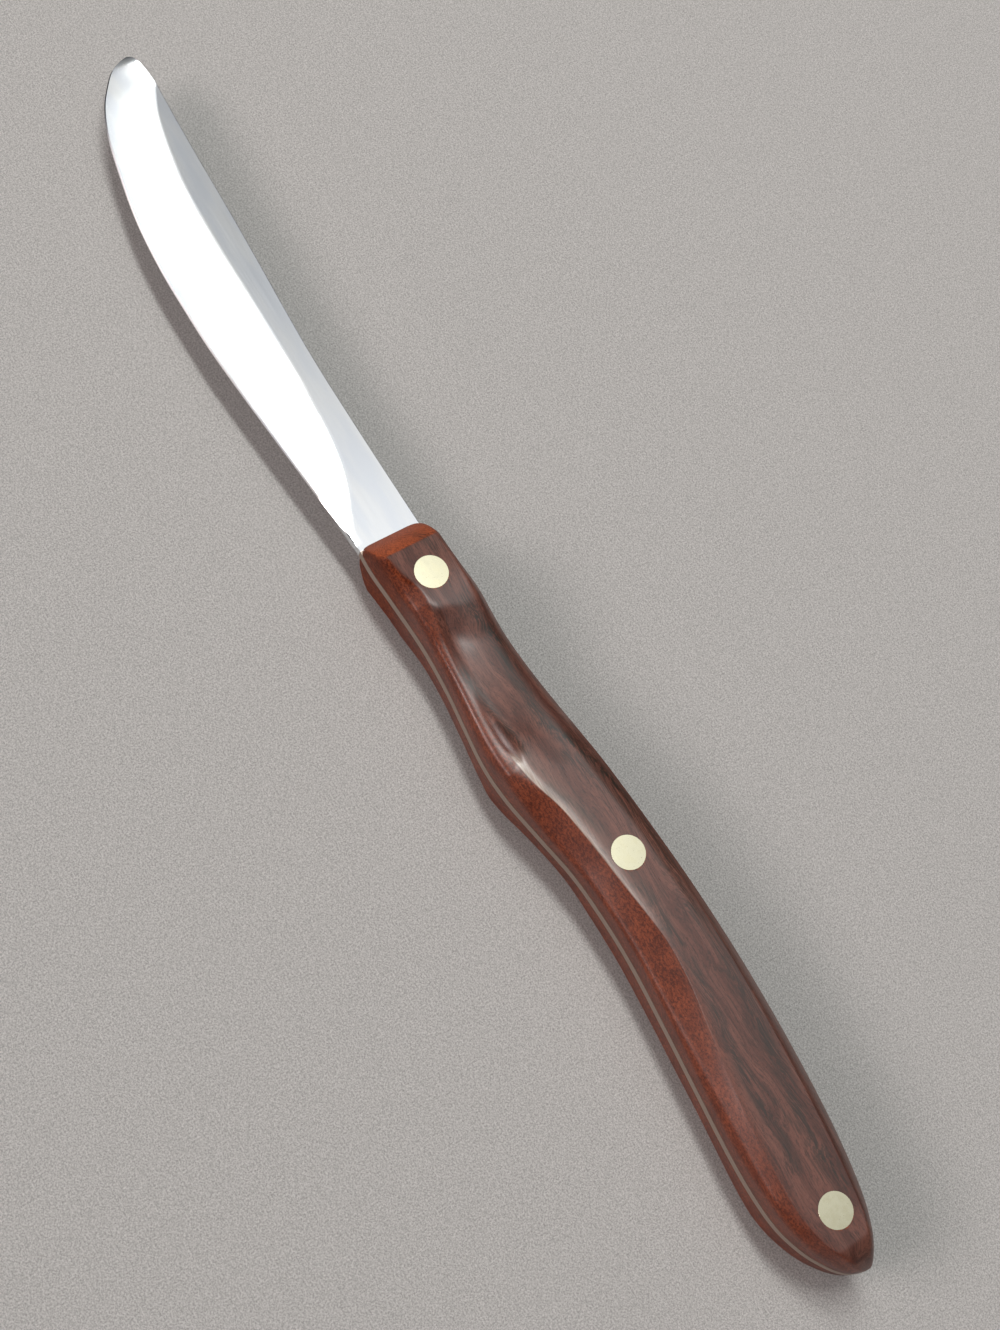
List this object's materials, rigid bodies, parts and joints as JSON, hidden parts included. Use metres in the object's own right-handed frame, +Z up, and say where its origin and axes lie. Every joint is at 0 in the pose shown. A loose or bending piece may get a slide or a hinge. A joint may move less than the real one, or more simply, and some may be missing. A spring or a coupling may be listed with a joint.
{
  "type": "steak knife",
  "caption": "Fixed-blade steak knife lying on its side: bright ground blade with a rounded tip, full tang and sculpted reddish-brown scales held by flush rivets.",
  "frame": {"origin": "middle of the knife's box in plan, at the height of the flat face it rests on", "axes": "+X from the blade's tip to the handle's butt, +Y from the cutting edge to the spine, +Z up out of the upper scale's flat face"},
  "size_m": [0.223, 0.0196, 0.013],
  "materials": {
    "steel": "polished, with fine lengthwise grinding marks",
    "scale_wood": "satin, dark wavy grain along the length",
    "rivet_metal": "pale nickel-silver, polished flush"
  },
  "bodies": {
    "root": {"blade": "steel", "upper_scale": "scale_wood", "lower_scale": "scale_wood", "front_rivet_pin": "rivet_metal", "front_rivet_sleeve": "rivet_metal", "middle_rivet_pin": "rivet_metal", "middle_rivet_sleeve": "rivet_metal", "rear_rivet_pin": "rivet_metal", "rear_rivet_sleeve": "rivet_metal"}
  },
  "joints": []
}
